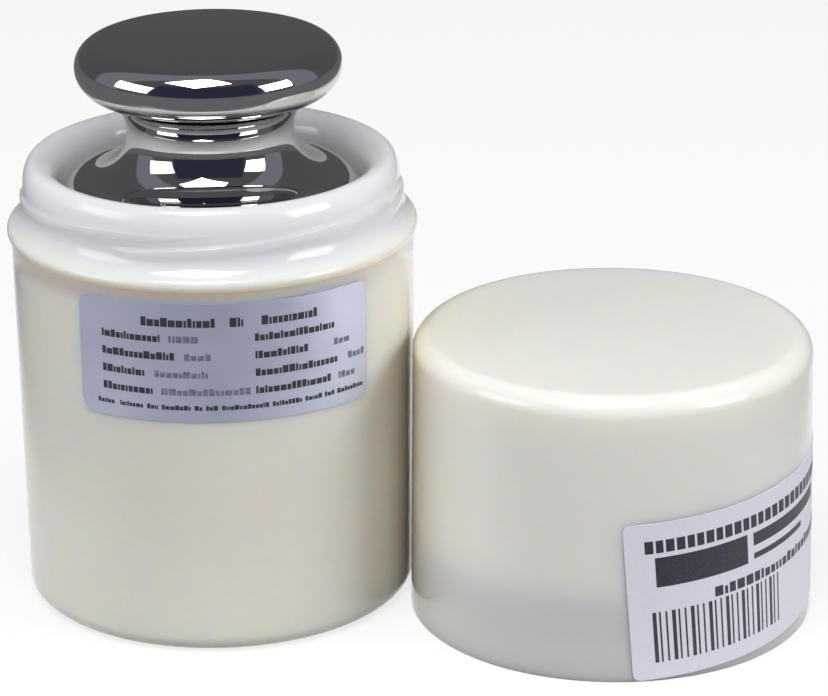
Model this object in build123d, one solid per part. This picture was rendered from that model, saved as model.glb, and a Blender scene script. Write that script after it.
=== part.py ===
"""One kilogram knob weight of polished stainless steel in its own screw jar.

The weight stands on a foam pad in a thick-walled plastic jar.  The jar's screw
lid lies beside it, mouth down, with its own foam pad inside.  A certificate
label is stuck to the jar and a stock label to the lid.

Units are millimetres.  +Z is up, the front is -Y.  The origin is the middle of
the jar's underside, on the surface that the jar and the lid stand on.
"""
from build123d import *
import math
import os

# ------------------------------------------------------------------ the weight
NOMINAL_MASS = 1000.0          # g, conventional mass of the weight
STEEL_DENSITY = 7.96e-3        # g per cubic millimetre
BODY_DIAMETER = 48.0           # cylinder below the shoulder
KNOB_DIAMETER = 43.0
NECK_DIAMETER = 27.0
BODY_EDGE_RADIUS = 1.0         # round on the body's foot
SHOULDER_ROUND = 3.0           # round on the body's upper rim
SHOULDER_FILLET = 7.2          # neck into the shoulder, where there is room for it
SHOULDER_LAND = 0.1            # least straight length left at each end of that fillet
KNOB_FILLET = 6.5              # neck into the knob's underside
KNOB_RISE = 18.0               # shoulder to the widest line of the knob
KNOB_LOWER_ROUND = 4.65        # knob edge, below its widest line
KNOB_UPPER_ROUND = 4.1         # knob edge, above its widest line
DOME_SLOPE = 4.0               # degrees, slope of the knob's crown where it meets the round

# --------------------------------------------------------------------- the jar
BORE_CLEARANCE = 1.2           # radial, round the weight
JAR_FLOOR = 6.0                # thickness of the jar's floor
JAR_HEIGHT = 74.0              # underside to the crest of the rim
JAR_WALL_TOP = 7.45            # bore to outside, just below the collar
JAR_DRAFT = 0.6                # radial taper of the outside, collar bead to foot round
JAR_FOOT_ROUND = 2.8
NECK_WALL = 5.3                # bore to the root of the thread
NECK_HEIGHT = 11.5             # widest line of the collar bead up to the crest of the rim
COLLAR_PROUD = 0.65            # bead beyond the wall below it
COLLAR_ROUND = 1.3             # lower half of the bead
COLLAR_COVE = 4.6              # bead up to the thread root
RIM_INNER_WIDTH = 3.4          # bore to the crest of the rim
RIM_ROLL_HEIGHT = 4.0          # height of the rim's rounded mouth
BORE_CORNER_ROUND = 1.0        # floor into bore, in the jar and the lid, and the pads' edges

# ------------------------------------------------------- the four-start thread
THREAD_STARTS = 4
THREAD_LEAD = 12.8             # rise in one turn, right-handed
THREAD_HEIGHT = 0.55           # ridge above its root
THREAD_WIDTH = 2.0             # ridge where it meets its root
THREAD_TOP_DROP = 3.2          # crest of the rim down to a ridge's upper end
THREAD_SWEEP = 125.0           # degrees that each ridge runs round the neck
THREAD_END_ANGLE = 3.0         # degrees right of the front, upper end of the first ridge
THREAD_CLEARANCE = 0.35        # radial, between the jar's thread and the lid's
LID_THREAD_FOOT = 3.0          # mouth to the lower end of each ridge in the lid
LID_THREAD_SWEEP = 80.0        # degrees

# --------------------------------------------------------------------- the lid
LID_HEIGHT = 47.3
LID_SKIRT_WALL = 1.47          # root of the lid's thread to the outside, at the mouth
LID_DRAFT = 0.56               # radial taper of the outside, mouth to rounded top edge
LID_EDGE_ROUND = 3.2
LID_MOUTH_CHAMFER = 0.4
LID_TOP_THICKNESS = 5.5
LID_SKIRT_DEPTH = 13.3         # depth of the threaded counterbore
LID_GAP = 0.6                  # jar's foot to the mouth of the lid beside it
LID_BEARING = 80.17            # degrees right of the front, from the jar to the lid

# ---------------------------------------------------------------- the foam pads
SEAT_PAD_THICKNESS = 7.15
LID_PAD_THICKNESS = 12.7
PAD_CLEARANCE = 0.3            # radial, foam to bore

# ------------------------------------------------------------------- the labels
LABEL_THICKNESS = 0.12
LABEL_CORNER = 2.0
JAR_LABEL_WIDTH = 49.5         # round the wall
JAR_LABEL_HEIGHT = 19.7
JAR_LABEL_DROP = 2.7           # widest line of the collar bead down to the label
JAR_LABEL_BEARING = 6.3        # degrees right of the front, middle of the label
LID_LABEL_WIDTH = 60.0
LID_LABEL_HEIGHT = 26.4
LID_LABEL_BOTTOM = 2.15        # middle of the lower edge, above the lid's mouth
LID_LABEL_BEARING = 54.2
LID_LABEL_TILT = 3.8           # degrees, right-hand end raised

# -------------------------------------------------------------- sizes that follow
FULL_TURN = 360.0
QUARTER = 90.0                 # degrees in a quarter turn
THREAD_CREST = 0.55            # crest width of a ridge, as a share of its foot
THREAD_ROOT_BITE = 0.4         # how far a ridge is rooted in its wall

body_radius = BODY_DIAMETER / 2
neck_radius = NECK_DIAMETER / 2
knob_radius = KNOB_DIAMETER / 2
bore_radius = body_radius + BORE_CLEARANCE
wall_top_radius = bore_radius + JAR_WALL_TOP
foot_radius = wall_top_radius - JAR_DRAFT
thread_root_radius = bore_radius + NECK_WALL
collar_height = JAR_HEIGHT - NECK_HEIGHT
jar_label_top = collar_height - JAR_LABEL_DROP
seat_height = JAR_FLOOR + SEAT_PAD_THICKNESS
lid_bore_radius = thread_root_radius + THREAD_HEIGHT + THREAD_CLEARANCE
lid_mouth_radius = lid_bore_radius + LID_SKIRT_WALL
lid_crown_radius = lid_mouth_radius - LID_DRAFT
lid_cavity_radius = bore_radius
lid_ceiling = LID_HEIGHT - LID_TOP_THICKNESS
lid_distance = foot_radius + LID_GAP + lid_mouth_radius
bead_foot_angle = math.degrees(math.acos(1 - COLLAR_PROUD / COLLAR_ROUND))
bead_foot_height = collar_height - COLLAR_ROUND * math.sin(math.radians(bead_foot_angle))


def on_bearing(bearing, distance):
    """Point at a distance from the jar's axis; bearing 0 is the front, 90 the right."""
    angle = math.radians(bearing - QUARTER)
    return (distance * math.cos(angle), distance * math.sin(angle), 0)


def turned(outline, sweep=FULL_TURN):
    """Solid turned about Z from a closed outline drawn as (radius, height)."""
    return revolve(make_face(Plane.XZ * outline), Axis.Z, sweep)


def cone_radius(height, low, high):
    """Radius of a tapered wall at a height, from its (radius, height) ends."""
    share = (height - low[1]) / (high[1] - low[1])
    return low[0] + (high[0] - low[0]) * share


# -------------------------------------------------------------------- the weight
def weight_of_body(body_height):
    """The weight in one piece, standing on z = 0, for a given height of its body."""
    edge = BODY_EDGE_RADIUS
    rim = body_radius - edge
    brow = body_radius - SHOULDER_ROUND
    widest = body_height + KNOB_RISE

    # The fillet under the knob touches the neck and the lower round of the knob's edge.
    lower_centre = (knob_radius - KNOB_LOWER_ROUND, widest)
    reach = KNOB_FILLET + KNOB_LOWER_ROUND
    inset = neck_radius + KNOB_FILLET - lower_centre[0]
    under_centre = (neck_radius + KNOB_FILLET, widest - math.sqrt(reach ** 2 - inset ** 2))
    touch = math.degrees(math.acos(inset / reach))
    room = min(brow - neck_radius, under_centre[1] - body_height) - SHOULDER_LAND
    fillet = min(SHOULDER_FILLET, room)
    shoulder_end = neck_radius + fillet

    # The crown is part of a large sphere, tangent to the upper round.
    upper_centre = (knob_radius - KNOB_UPPER_ROUND, widest)
    slope = math.radians(DOME_SLOPE)
    crown_edge = (
        upper_centre[0] + KNOB_UPPER_ROUND * math.sin(slope),
        widest + KNOB_UPPER_ROUND * math.cos(slope),
    )
    apex = (0, crown_edge[1] + crown_edge[0] * math.tan(slope / 2))

    outline = Line((0, 0), (rim, 0))
    outline += CenterArc((rim, edge), edge, -QUARTER, QUARTER)
    outline += Line((body_radius, edge), (body_radius, body_height - SHOULDER_ROUND))
    outline += CenterArc((brow, body_height - SHOULDER_ROUND), SHOULDER_ROUND, 0, QUARTER)
    outline += Line((brow, body_height), (shoulder_end, body_height))
    outline += CenterArc((shoulder_end, body_height + fillet), fillet, -QUARTER, -QUARTER)
    outline += Line((neck_radius, body_height + fillet), (neck_radius, under_centre[1]))
    outline += CenterArc(under_centre, KNOB_FILLET, 2 * QUARTER, -touch)
    outline += CenterArc(lower_centre, KNOB_LOWER_ROUND, -touch, touch)
    outline += CenterArc(upper_centre, KNOB_UPPER_ROUND, 0, QUARTER - DOME_SLOPE)
    outline += TangentArc(crown_edge, apex, tangent=(-math.cos(slope), math.sin(slope)))
    outline += Line(apex, (0, 0))
    return turned(outline)


def make_weight():
    """The weight at its nominal mass, standing on the seat pad."""
    trial_height = BODY_DIAMETER
    missing = NOMINAL_MASS / STEEL_DENSITY - weight_of_body(trial_height).volume
    body_height = trial_height + missing / (math.pi * body_radius ** 2)
    return Pos(0, 0, seat_height) * weight_of_body(body_height)


# -------------------------------------------------------------------- the thread
def thread_ridges(root_radius, foot_height, sweep, last_bearing, outward):
    """Ridges of the multi-start thread on a wall; outward is 1 on a neck, -1 in a mouth."""
    rise = THREAD_LEAD * sweep / FULL_TURN
    path = Helix(THREAD_LEAD, rise, root_radius, center=(0, 0, foot_height))
    across = Plane(origin=path @ 0, x_dir=(outward, 0, 0), z_dir=path % 0)
    foot = THREAD_WIDTH / 2
    crest = foot * THREAD_CREST
    outline = Polyline(
        (-THREAD_ROOT_BITE, -foot),
        (0, -foot),
        (THREAD_HEIGHT, -crest),
        (THREAD_HEIGHT, crest),
        (0, foot),
        (-THREAD_ROOT_BITE, foot),
        close=True,
    )
    ridge = sweep_section(make_face(across * outline), path)
    start = last_bearing - QUARTER - sweep
    return [
        Rot(0, 0, start + index * FULL_TURN / THREAD_STARTS) * ridge
        for index in range(THREAD_STARTS)
    ]


def sweep_section(section, path):
    """Solid swept along a helix with its section kept square to the axis."""
    return sweep(section, path=path, is_frenet=True)


# ----------------------------------------------------------------------- the jar
def make_jar():
    """The jar in one piece: floor, thick wall, collar bead, threaded neck and rolled rim."""
    bead_centre = (wall_top_radius + COLLAR_PROUD - COLLAR_ROUND, collar_height)
    # The cove is tangent to the bead and to the neck.
    cove_radius = thread_root_radius + COLLAR_COVE
    reach = COLLAR_COVE + COLLAR_ROUND
    cove_height = collar_height + math.sqrt(reach ** 2 - (cove_radius - bead_centre[0]) ** 2)
    touch = math.degrees(math.acos((cove_radius - bead_centre[0]) / reach))
    crest_radius = bore_radius + RIM_INNER_WIDTH
    roll_foot = JAR_HEIGHT - RIM_ROLL_HEIGHT
    outer_roll = thread_root_radius - crest_radius
    foot_inner = foot_radius - JAR_FOOT_ROUND
    floor_edge = bore_radius - BORE_CORNER_ROUND

    outline = Line((0, 0), (foot_inner, 0))
    outline += CenterArc((foot_inner, JAR_FOOT_ROUND), JAR_FOOT_ROUND, -QUARTER, QUARTER)
    outline += Line((foot_radius, JAR_FOOT_ROUND), (wall_top_radius, bead_foot_height))
    outline += CenterArc(bead_centre, COLLAR_ROUND, -bead_foot_angle, bead_foot_angle + touch)
    outline += CenterArc((cove_radius, cove_height), COLLAR_COVE, 2 * QUARTER + touch, -touch)
    outline += Line((thread_root_radius, cove_height), (thread_root_radius, roll_foot))
    outline += EllipticalCenterArc(
        (crest_radius, roll_foot), outer_roll, RIM_ROLL_HEIGHT, 0, arc_size=QUARTER
    )
    outline += EllipticalCenterArc(
        (crest_radius, roll_foot), RIM_INNER_WIDTH, RIM_ROLL_HEIGHT, QUARTER, arc_size=QUARTER
    )
    outline += Line((bore_radius, roll_foot), (bore_radius, JAR_FLOOR + BORE_CORNER_ROUND))
    outline += CenterArc((floor_edge, JAR_FLOOR + BORE_CORNER_ROUND), BORE_CORNER_ROUND, 0, -QUARTER)
    outline += Line((floor_edge, JAR_FLOOR), (0, JAR_FLOOR))
    outline += Line((0, JAR_FLOOR), (0, 0))
    jar = turned(outline)
    rise = THREAD_LEAD * THREAD_SWEEP / FULL_TURN
    ridges = thread_ridges(
        thread_root_radius,
        JAR_HEIGHT - THREAD_TOP_DROP - rise,
        THREAD_SWEEP,
        THREAD_END_ANGLE,
        outward=1,
    )
    return jar + ridges


def jar_wall_radius(height):
    """Radius of the jar's tapered outside at a height."""
    return cone_radius(height, (foot_radius, JAR_FOOT_ROUND), (wall_top_radius, bead_foot_height))


# ----------------------------------------------------------------------- the lid
def lid_wall_radius(height):
    """Radius of the lid's tapered outside at a height above its mouth."""
    return cone_radius(
        height, (lid_mouth_radius, 0), (lid_crown_radius, LID_HEIGHT - LID_EDGE_ROUND)
    )


def beside_jar(solid):
    """Moves a piece of the lid from the jar's axis to where the lid lies."""
    return Pos(*on_bearing(LID_BEARING, lid_distance)) * solid


def make_lid():
    """The screw lid in one piece, mouth down: threaded skirt, cavity and flat top."""
    edge_height = LID_HEIGHT - LID_EDGE_ROUND
    edge_inner = lid_crown_radius - LID_EDGE_ROUND
    cavity_corner = lid_cavity_radius - BORE_CORNER_ROUND

    outline = Line((lid_bore_radius, 0), (lid_mouth_radius - LID_MOUTH_CHAMFER, 0))
    outline += Line(
        (lid_mouth_radius - LID_MOUTH_CHAMFER, 0),
        (lid_wall_radius(LID_MOUTH_CHAMFER), LID_MOUTH_CHAMFER),
    )
    outline += Line(
        (lid_wall_radius(LID_MOUTH_CHAMFER), LID_MOUTH_CHAMFER), (lid_crown_radius, edge_height)
    )
    outline += CenterArc((edge_inner, edge_height), LID_EDGE_ROUND, 0, QUARTER)
    outline += Line((edge_inner, LID_HEIGHT), (0, LID_HEIGHT))
    outline += Line((0, LID_HEIGHT), (0, lid_ceiling))
    outline += Line((0, lid_ceiling), (cavity_corner, lid_ceiling))
    outline += CenterArc(
        (cavity_corner, lid_ceiling - BORE_CORNER_ROUND), BORE_CORNER_ROUND, QUARTER, -QUARTER
    )
    outline += Line(
        (lid_cavity_radius, lid_ceiling - BORE_CORNER_ROUND), (lid_cavity_radius, LID_SKIRT_DEPTH)
    )
    outline += Line((lid_cavity_radius, LID_SKIRT_DEPTH), (lid_bore_radius, LID_SKIRT_DEPTH))
    outline += Line((lid_bore_radius, LID_SKIRT_DEPTH), (lid_bore_radius, 0))
    ridges = thread_ridges(
        lid_bore_radius, LID_THREAD_FOOT, LID_THREAD_SWEEP, THREAD_END_ANGLE, outward=-1
    )
    return beside_jar(turned(outline) + ridges)


# ---------------------------------------------------------------------- the pads
def make_pad(radius, thickness, height):
    """A round foam pad on the jar's axis, with its underside at a height."""
    pad = Pos(0, 0, height) * extrude(Circle(radius - PAD_CLEARANCE), thickness)
    return fillet(pad.edges().filter_by(GeomType.CIRCLE), BORE_CORNER_ROUND)


# -------------------------------------------------------------------- the labels
def round_corners(label):
    """Rounds the four corners of a thin label, which are its only short edges."""
    corners = [edge for edge in label.edges() if edge.length < 2 * LABEL_THICKNESS]
    return fillet(corners, LABEL_CORNER)


def make_jar_label():
    """The certificate label, level and wrapped round the jar's wall."""
    bottom = jar_label_top - JAR_LABEL_HEIGHT
    low_radius = jar_wall_radius(bottom)
    high_radius = jar_wall_radius(jar_label_top)
    outline = Polyline(
        (low_radius, bottom),
        (low_radius + LABEL_THICKNESS, bottom),
        (high_radius + LABEL_THICKNESS, jar_label_top),
        (high_radius, jar_label_top),
        close=True,
    )
    sweep_angle = math.degrees(JAR_LABEL_WIDTH / low_radius)
    label = turned(outline, sweep_angle)
    return round_corners(Rot(0, 0, JAR_LABEL_BEARING - QUARTER - sweep_angle / 2) * label)


def make_lid_label():
    """The stock label, wrapped a little askew round the lid's wall."""
    outline = Polyline(
        (lid_wall_radius(0), 0),
        (lid_wall_radius(0) + LABEL_THICKNESS, 0),
        (lid_wall_radius(LID_HEIGHT) + LABEL_THICKNESS, LID_HEIGHT),
        (lid_wall_radius(LID_HEIGHT), LID_HEIGHT),
        close=True,
    )
    wrap = Rot(0, 0, -QUARTER) * turned(outline, 2 * QUARTER)
    # The label is cut out of the wrap by a rounded window seen square on from its middle.
    chord = 2 * lid_mouth_radius * math.sin(LID_LABEL_WIDTH / lid_mouth_radius / 2)
    window = Plane.YZ * RectangleRounded(chord, LID_LABEL_HEIGHT, LABEL_CORNER)
    cutter = Rot(LID_LABEL_TILT, 0, 0) * extrude(window, 2 * lid_mouth_radius)
    label = wrap & Pos(0, 0, LID_LABEL_BOTTOM + LID_LABEL_HEIGHT / 2) * cutter
    return beside_jar(Rot(0, 0, LID_LABEL_BEARING - QUARTER) * label)


# ------------------------------------------------------------------------ export
def main():
    """Builds each piece and writes it to its own file."""
    nodes = {
        "knob_weight": make_weight(),
        "jar": make_jar(),
        "seat_pad": make_pad(bore_radius, SEAT_PAD_THICKNESS, JAR_FLOOR),
        "screw_lid": make_lid(),
        "lid_pad": beside_jar(
            make_pad(lid_cavity_radius, LID_PAD_THICKNESS, lid_ceiling - LID_PAD_THICKNESS)
        ),
        "certificate_label": make_jar_label(),
        "lid_label": make_lid_label(),
    }
    os.makedirs("parts", exist_ok=True)
    for name, solid in nodes.items():
        export_step(solid, f"parts/{name}.step")
        print(name, round(solid.volume, 2))


main()
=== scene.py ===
"""Looks of a polished one-kilogram knob weight standing in its ivory screw jar, with the lid beside it.

Sizes are in millimetres and become metres when a mesh is made.  +Z is up and the front is -Y.
A bearing is an angle about a piece's own axis: 0 is the front and 90 is the right.
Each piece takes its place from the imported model.
"""

import logging
import math
import random
from abc import ABC, abstractmethod
from collections.abc import Callable, Iterable
from dataclasses import dataclass, field
from enum import Enum

import bpy
import numpy as np
from mathutils import Matrix, Vector


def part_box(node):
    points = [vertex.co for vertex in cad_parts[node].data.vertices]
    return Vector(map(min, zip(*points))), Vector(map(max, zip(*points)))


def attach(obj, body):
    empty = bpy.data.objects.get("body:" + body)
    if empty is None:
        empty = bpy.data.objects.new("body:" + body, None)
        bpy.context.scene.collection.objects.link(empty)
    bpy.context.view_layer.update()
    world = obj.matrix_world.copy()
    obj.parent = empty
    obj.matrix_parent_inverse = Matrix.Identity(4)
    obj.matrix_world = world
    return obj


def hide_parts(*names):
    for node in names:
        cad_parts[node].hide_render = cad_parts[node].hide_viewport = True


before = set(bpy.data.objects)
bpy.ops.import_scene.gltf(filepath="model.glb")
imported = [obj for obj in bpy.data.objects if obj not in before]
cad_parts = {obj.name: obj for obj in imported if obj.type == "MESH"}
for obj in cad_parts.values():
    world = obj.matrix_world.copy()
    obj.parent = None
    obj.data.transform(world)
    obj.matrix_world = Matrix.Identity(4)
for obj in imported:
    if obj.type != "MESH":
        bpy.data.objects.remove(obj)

Pair = tuple[float, float]
Face = tuple[int, ...]
Node = bpy.types.Node
Socket = bpy.types.NodeSocket
Tree = bpy.types.NodeTree

LOG = logging.getLogger("calibration_weight")
MM = 0.001
ROOT = "root"
ON_WALL = 0.01     # mm between a point and the wall that it counts as lying on


# ------------------------------------------------------------------ small helpers
def linear(hex_colour: str) -> tuple[float, float, float, float]:
    """Turns an sRGB hex colour into the linear colour that a shader takes.

    Args:
        hex_colour: a colour such as "#E9E4D2".

    Returns:
        Linear red, green and blue, and an alpha of 1.
    """
    channels = [int(hex_colour[place:place + 2], 16) / 255 for place in (1, 3, 5)]
    return (*(c / 12.92 if c <= 0.04045 else ((c + 0.055) / 1.055) ** 2.4 for c in channels), 1.0)


def add_node(tree: Tree, kind: str, inputs: dict | None = None, **settings) -> Node:
    """Adds one shader node with its settings and links.

    Args:
        tree: the node tree that gets the node.
        kind: the node's type, such as "ShaderNodeTexNoise".
        inputs: a value or an output socket for each input, by name or number.
        **settings: the node's own properties.

    Returns:
        The new node.
    """
    node = tree.nodes.new(kind)
    for name, value in settings.items():
        setattr(node, name, value)
    for key, value in (inputs or {}).items():
        if isinstance(value, Socket):
            tree.links.new(value, node.inputs[key])
        else:
            node.inputs[key].default_value = value
    return node


def scale_for(period: float) -> float:
    """Texture scale, per metre, whose features are a period in millimetres apart."""
    return 1 / (period * MM)


def smooth_step(share: np.ndarray) -> np.ndarray:
    """Eases a share from 0 to 1, flat at both ends."""
    held = np.clip(share, 0, 1)
    return held * held * (3 - 2 * held)


# ----------------------------------------------------------------------- outlines
class Outline:
    """A turned piece's outline, walked with the material on the left, with its normals."""

    ARC_STEP = 3.0     # degrees
    SAME_POINT = 1e-4  # mm

    def __init__(self) -> None:
        """Starts with no points."""
        self.rows: list[tuple[float, float, float, float]] = []

    def run(self, start: Pair, end: Pair, step: float) -> None:
        """Adds a straight run.

        Args:
            start: radius and height where it starts.
            end: radius and height where it ends.
            step: longest distance between its points, in mm.
        """
        along = np.subtract(end, start)
        length = float(np.hypot(*along))
        across = (along[1] / length, -along[0] / length)
        for share in np.linspace(0, 1, max(2, math.ceil(length / step) + 1)):
            self._add(start[0] + along[0] * share, start[1] + along[1] * share, *across)

    def arc(
        self,
        centre: Pair,
        radii: Pair,
        angles: Pair,
        step: float = ARC_STEP,
    ) -> None:
        """Adds an arc of a circle or an upright ellipse.

        Args:
            centre: radius and height of its centre.
            radii: its radius outward and its radius upward.
            angles: its first and last angle in degrees; a falling pair is a hollow arc.
            step: degrees between its points.
        """
        side = 1 if angles[1] > angles[0] else -1
        count = max(3, math.ceil(abs(angles[1] - angles[0]) / step) + 1)
        for angle in np.radians(np.linspace(*angles, count)):
            across = np.array((math.cos(angle) / radii[0], math.sin(angle) / radii[1]))
            across *= side / np.hypot(*across)
            place = (centre[0] + radii[0] * math.cos(angle), centre[1] + radii[1] * math.sin(angle))
            self._add(*place, *across)

    def _add(self, radius: float, height: float, outward: float, upward: float) -> None:
        """Adds a point unless it repeats the last one."""
        if not self.rows or math.dist(self.rows[-1][:2], (radius, height)) > self.SAME_POINT:
            self.rows.append((max(radius, 0.0), height, outward, upward))

    def points(self) -> np.ndarray:
        """The outline as an array of radius, height and normal rows."""
        return np.array(self.rows)


@dataclass(frozen=True)
class Envelope:
    """Axis, levels and radius of a round CAD node, in mm."""

    x: float
    y: float
    low: float
    high: float
    radius: float

    @classmethod
    def of_node(cls, node: str) -> "Envelope":
        """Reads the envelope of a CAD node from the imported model.

        Args:
            node: the node's name.

        Returns:
            Its envelope.
        """
        low, high = (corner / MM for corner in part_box(node))
        middle = (low + high) / 2
        return cls(middle.x, middle.y, low.z, high.z, (high.x - low.x + high.y - low.y) / 4)


def turned_mesh(
    name: str,
    outline: Outline,
    axis: Pair,
    segments: int,
    shape: Callable[[np.ndarray, np.ndarray, np.ndarray], tuple[np.ndarray, np.ndarray]] | None = None,
) -> bpy.types.Object:
    """Turns an outline about an upright axis, with true normals where nothing reshapes it.

    Args:
        name: the new object's name.
        outline: the outline, from the axis round to the axis again.
        axis: place of the axis in mm.
        segments: faces round the axis.
        shape: gives new radii and heights from radii, heights and bearings in degrees.

    Returns:
        The new object, linked to the scene.
    """
    rows = outline.points()
    bearings = np.arange(segments) * 360 / segments
    radii, spread = np.meshgrid(rows[:, 0], bearings, indexing="ij")
    heights = np.repeat(rows[:, 1:2], segments, axis=1)
    if shape:
        radii, heights = shape(radii, heights, spread)
    turn = np.radians(spread)
    places = np.stack((axis[0] + radii * np.sin(turn), axis[1] - radii * np.cos(turn), heights), -1)
    normals = np.stack(
        (
            rows[:, 2:3] * np.sin(turn),
            -rows[:, 2:3] * np.cos(turn),
            np.repeat(rows[:, 3:4], segments, axis=1),
        ),
        -1,
    )
    # The first and last rows lie on the axis and become one point each.
    inner = places[1:-1].reshape(-1, 3)
    vertices = np.vstack((places[0, :1], inner, places[-1, :1])) * MM
    vertex_normals = np.vstack((normals[0, :1], normals[1:-1].reshape(-1, 3), normals[-1, :1]))
    ring_count = len(rows) - 2
    following = (np.arange(segments) + 1) % segments
    faces: list[Face] = []
    for ring in range(ring_count - 1):
        base = 1 + ring * segments
        for column in range(segments):
            beside = int(following[column])
            over = base + segments
            faces.append((base + column, base + beside, over + beside, over + column))
    last = len(vertices) - 1
    top = 1 + (ring_count - 1) * segments
    for column in range(segments):
        beside = int(following[column])
        faces.append((0, 1 + beside, 1 + column))
        faces.append((last, top + column, top + beside))
    return mesh_object(name, vertices, faces, None if shape else vertex_normals)


def mesh_object(
    name: str,
    vertices: np.ndarray,
    faces: Iterable[Face],
    normals: np.ndarray | None = None,
) -> bpy.types.Object:
    """Makes a smooth mesh object.

    Args:
        name: the new object's name.
        vertices: its points in metres.
        faces: its faces, as point numbers seen anticlockwise from outside.
        normals: a normal for each point, or None to let the faces give them.

    Returns:
        The new object, linked to the scene.
    """
    mesh = bpy.data.meshes.new(name)
    mesh.from_pydata(vertices.tolist(), [], list(faces))
    mesh.validate()
    mesh.polygons.foreach_set("use_smooth", [True] * len(mesh.polygons))
    if normals is not None:
        mesh.normals_split_custom_set_from_vertices(normals.tolist())
    mesh.update()
    piece = bpy.data.objects.new(name, mesh)
    bpy.context.scene.collection.objects.link(piece)
    return piece


def place_piece(
    piece: bpy.types.Object, finishes: list["Finish"], nodes: Iterable[str] = ()
) -> None:
    """Dresses a piece, ties it to the model's body and reports it.

    Args:
        piece: the object, already in place.
        finishes: its finishes, in the order of its material numbers.
        nodes: the CAD nodes that it stands for.
    """
    for finish in finishes:
        piece.data.materials.append(finish.material())
    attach(piece, ROOT)
    if nodes:
        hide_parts(*nodes)
    LOG.info("%s: %d faces, finish %s", piece.name, len(piece.data.polygons), finishes[0].name)


class Slot(Enum):
    """Material slots of the record."""

    STEEL = "polished_steel"
    PLASTIC = "ivory_plastic"
    FOAM = "foam"
    FILM = "silver_label"
    PAPER = "paper_label"


# ----------------------------------------------------------------------- finishes
@dataclass(frozen=True)
class Finish(ABC):
    """A surface finish: a real material and how its surface was made."""

    name: str

    def material(self) -> bpy.types.Material:
        """The finish's material, made on first use.

        Returns:
            The material.
        """
        found = bpy.data.materials.get(self.name)
        if found:
            return found
        made = bpy.data.materials.new(self.name)
        made.use_nodes = True
        tree = made.node_tree
        tree.nodes.clear()
        output = add_node(tree, "ShaderNodeOutputMaterial")
        shader = add_node(tree, "ShaderNodeBsdfPrincipled")
        tree.links.new(shader.outputs["BSDF"], output.inputs["Surface"])
        place = add_node(tree, "ShaderNodeTexCoord").outputs["Object"]
        self.paint(tree, shader, place)
        return made

    @abstractmethod
    def paint(self, tree: Tree, shader: Node, place: Socket) -> None:
        """Sets up the finish.

        Args:
            tree: the material's node tree.
            shader: its principled shader.
            place: the surface point in metres, in the model's frame.
        """

    @staticmethod
    def shade(
        tree: Tree,
        shader: Node,
        tint: tuple[float, ...] | Socket,
        pattern: Socket,
        spread: Pair,
        darkest: float,
    ) -> None:
        """Darkens the base colour a little where a pattern runs low.

        Args:
            tree: the material's node tree.
            shader: its principled shader.
            tint: the linear colour, or the output that gives it.
            pattern: the pattern.
            spread: the pattern's values that get the darkest and the full colour.
            darkest: share of the colour left where it is darkest.
        """
        share = add_node(
            tree,
            "ShaderNodeMapRange",
            {"Value": pattern, "From Min": spread[0], "From Max": spread[1], "To Min": darkest},
        )
        colour = add_node(
            tree,
            "ShaderNodeMix",
            {0: 1.0, 6: tint, 7: share.outputs["Result"]},
            data_type="RGBA",
            blend_type="MULTIPLY",
        )
        tree.links.new(colour.outputs[2], shader.inputs["Base Color"])

    @staticmethod
    def roughen(
        tree: Tree,
        shader: Node,
        *layers: tuple[Socket, float, float, float],
    ) -> None:
        """Raises fine relief on the surface, each layer on top of the one before.

        Args:
            tree: the material's node tree.
            shader: its principled shader.
            *layers: the point that a layer is read at, its period in mm, its detail and its height in mm.
        """
        below: dict[str, Socket] = {}
        for point, period, detail, height in layers:
            noise = add_node(
                tree, "ShaderNodeTexNoise", {"Vector": point, "Scale": scale_for(period), "Detail": detail}
            )
            bump = add_node(
                tree,
                "ShaderNodeBump",
                {"Height": noise.outputs["Fac"], "Distance": height * MM, "Strength": 1.0, **below},
            )
            below = {"Normal": bump.outputs["Normal"]}
        tree.links.new(below["Normal"], shader.inputs["Normal"])


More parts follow.
